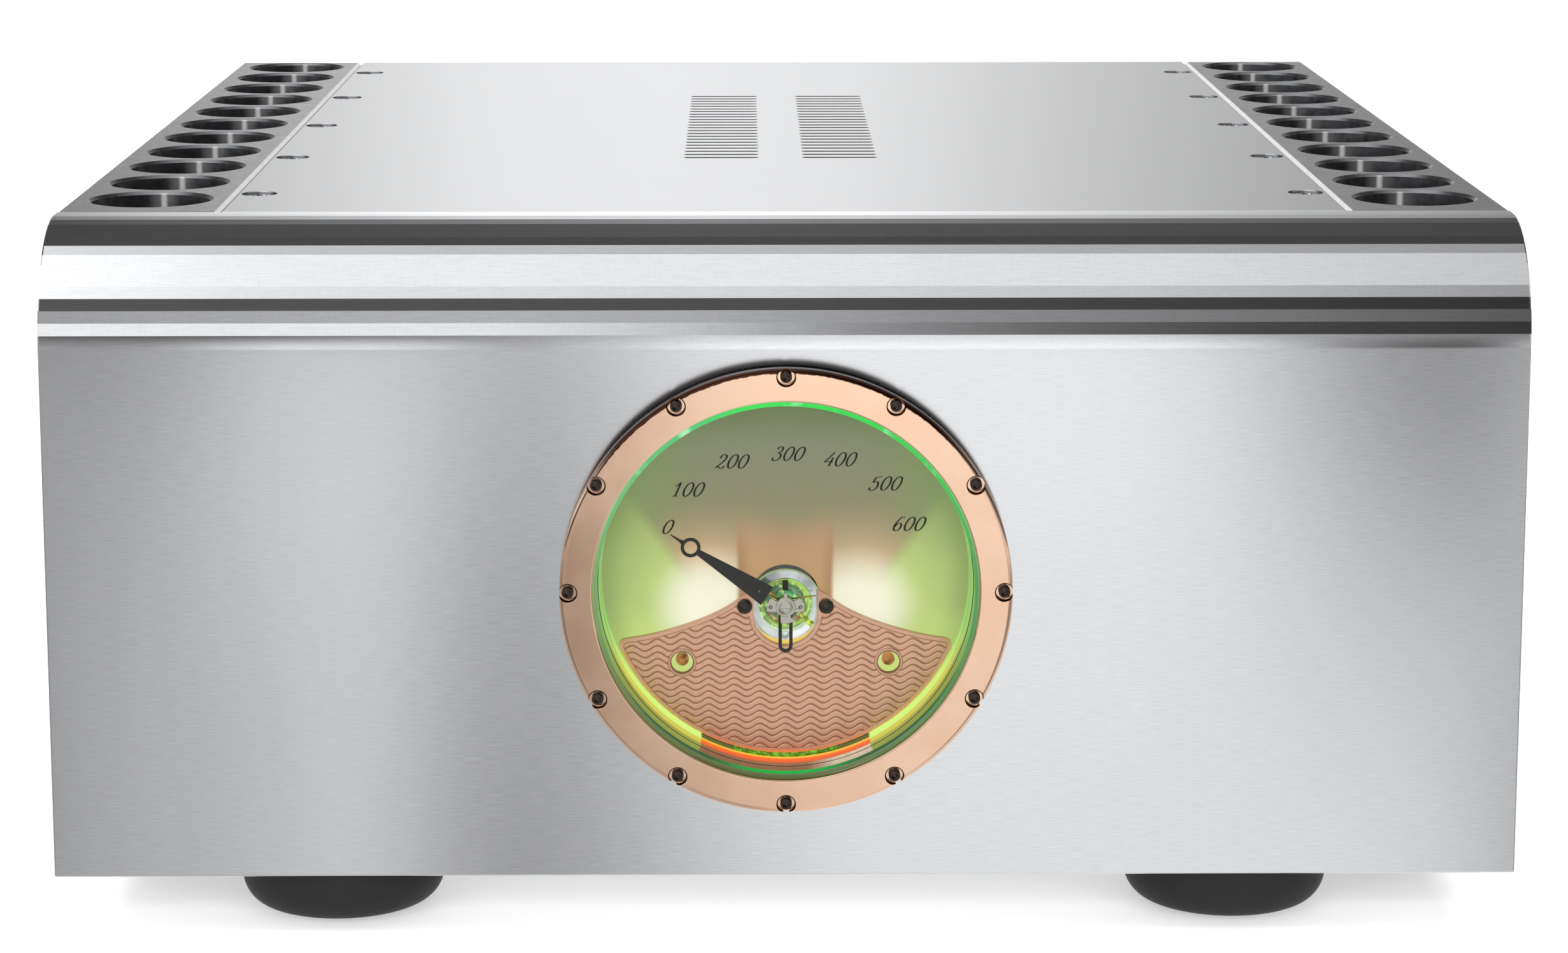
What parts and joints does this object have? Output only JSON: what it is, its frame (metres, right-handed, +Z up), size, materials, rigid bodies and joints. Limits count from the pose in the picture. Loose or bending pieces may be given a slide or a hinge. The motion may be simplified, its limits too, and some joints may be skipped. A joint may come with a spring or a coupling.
{
  "type": "power amplifier",
  "caption": "Audio power amplifier: aluminium body with bored heat sinks down both sides, a round needle meter behind glass, slotted top cover and domed feet.",
  "frame": {"origin": "centre of the bounding box on x and y, at the bottom of the feet", "axes": "+Z up, the meter faces -Y, +X to the right seen from the front"},
  "size_m": [0.4572, 0.556, 0.226],
  "materials": {
    "front_panel": "brushed across the width, clear anodised",
    "heat_sink": "fine-milled, dull grey anodised",
    "cover": "brushed, clear anodised",
    "plates": "fine-brushed, satin",
    "screw_steel": "machined, bright",
    "foot": "dull black",
    "housing": "satin black",
    "bezel": "polished rose copper",
    "glass": "clear, pale green edge",
    "dial": "matt, lit from the sides",
    "fan_plate": "rose copper with engraved wavy lines",
    "screw_black": "black oxide",
    "lamp": "clear amber dome",
    "movement": "turned, bright",
    "needle": "matt black",
    "coil": "copper",
    "socket_black": "moulded",
    "knob_black": "moulded",
    "knob_red": "moulded",
    "contact": "gold plated",
    "winding": "varnished winding under tape",
    "board": "circuit board with components"
  },
  "bodies": {
    "chassis": {"front_panel": "front_panel", "heatsink_left": "heat_sink", "heatsink_right": "heat_sink", "top_cover": "cover", "bottom_plate": "plates", "rear_panel": "plates", "cover_screw_left_1": "screw_steel", "cover_screw_left_2": "screw_steel", "cover_screw_left_3": "screw_steel", "cover_screw_left_4": "screw_steel", "cover_screw_left_5": "screw_steel", "cover_screw_right_1": "screw_steel", "cover_screw_right_2": "screw_steel", "cover_screw_right_3": "screw_steel", "cover_screw_right_4": "screw_steel", "cover_screw_right_5": "screw_steel", "foot_front_left": "foot", "foot_front_right": "foot", "foot_rear_left": "foot", "foot_rear_right": "foot", "meter_housing": "housing", "meter_bezel": "bezel", "meter_glass": "glass", "meter_dial": "dial", "meter_fan_plate": "fan_plate", "bezel_screw_01": "screw_black", "bezel_screw_02": "screw_black", "bezel_screw_03": "screw_black", "bezel_screw_04": "screw_black", "bezel_screw_05": "screw_black", "bezel_screw_06": "screw_black", "bezel_screw_07": "screw_black", "bezel_screw_08": "screw_black", "bezel_screw_09": "screw_black", "bezel_screw_10": "screw_black", "bezel_screw_11": "screw_black", "bezel_screw_12": "screw_black", "fan_screw_left": "screw_black", "fan_screw_right": "screw_black", "lamp_left": "lamp", "lamp_right": "lamp", "meter_core": "movement", "meter_bridge": "movement", "transformer_clamp": "movement", "mains_inlet": "socket_black", "xlr_socket": "socket_black", "post_black_base": "contact", "post_red_base": "contact", "transformer": "winding", "supply_board": "board", "output_board_left": "board", "output_board_right": "board"},
    "needle": {"meter_needle": "needle", "meter_coil": "coil"},
    "zero_fork": {"meter_zero_fork": "needle"},
    "rocker": {"mains_rocker": "socket_black"},
    "drawer": {"fuse_drawer": "socket_black"},
    "latch": {"xlr_latch": "movement"},
    "knob_black": {"post_black_knob": "knob_black"},
    "knob_red": {"post_red_knob": "knob_red"}
  },
  "joints": [
    {"name": "needle_swing", "type": "hinge", "parent": "chassis", "child": "needle", "pos_m": [0, -0.2587, 0.1068], "axis": [0, 1, 0], "range_deg": [0, 113.8]},
    {"name": "zero_adjust", "type": "hinge", "parent": "chassis", "child": "zero_fork", "pos_m": [0, -0.2596, 0.1068], "axis": [0, 1, 0], "range_deg": [-8, 8]},
    {"name": "rocker_tilt", "type": "hinge", "parent": "chassis", "child": "rocker", "pos_m": [-0.11, 0.248, 0.136], "axis": [-1, 0, 0], "range_deg": [0, 14]},
    {"name": "drawer_slide", "type": "slide", "parent": "chassis", "child": "drawer", "axis": [0, 1, 0], "range_m": [0, 0.024]},
    {"name": "latch_press", "type": "slide", "parent": "chassis", "child": "latch", "axis": [0, -1, 0], "range_m": [0, 0.0015], "stiffness_N_per_m": 600},
    {"name": "knob_black_turn", "type": "hinge", "parent": "chassis", "child": "knob_black", "pos_m": [0.07, 0.266, 0.094], "axis": [0, 1, 0], "continuous": true},
    {"name": "knob_red_turn", "type": "hinge", "parent": "chassis", "child": "knob_red", "pos_m": [0.114, 0.266, 0.094], "axis": [0, 1, 0], "continuous": true}
  ]
}
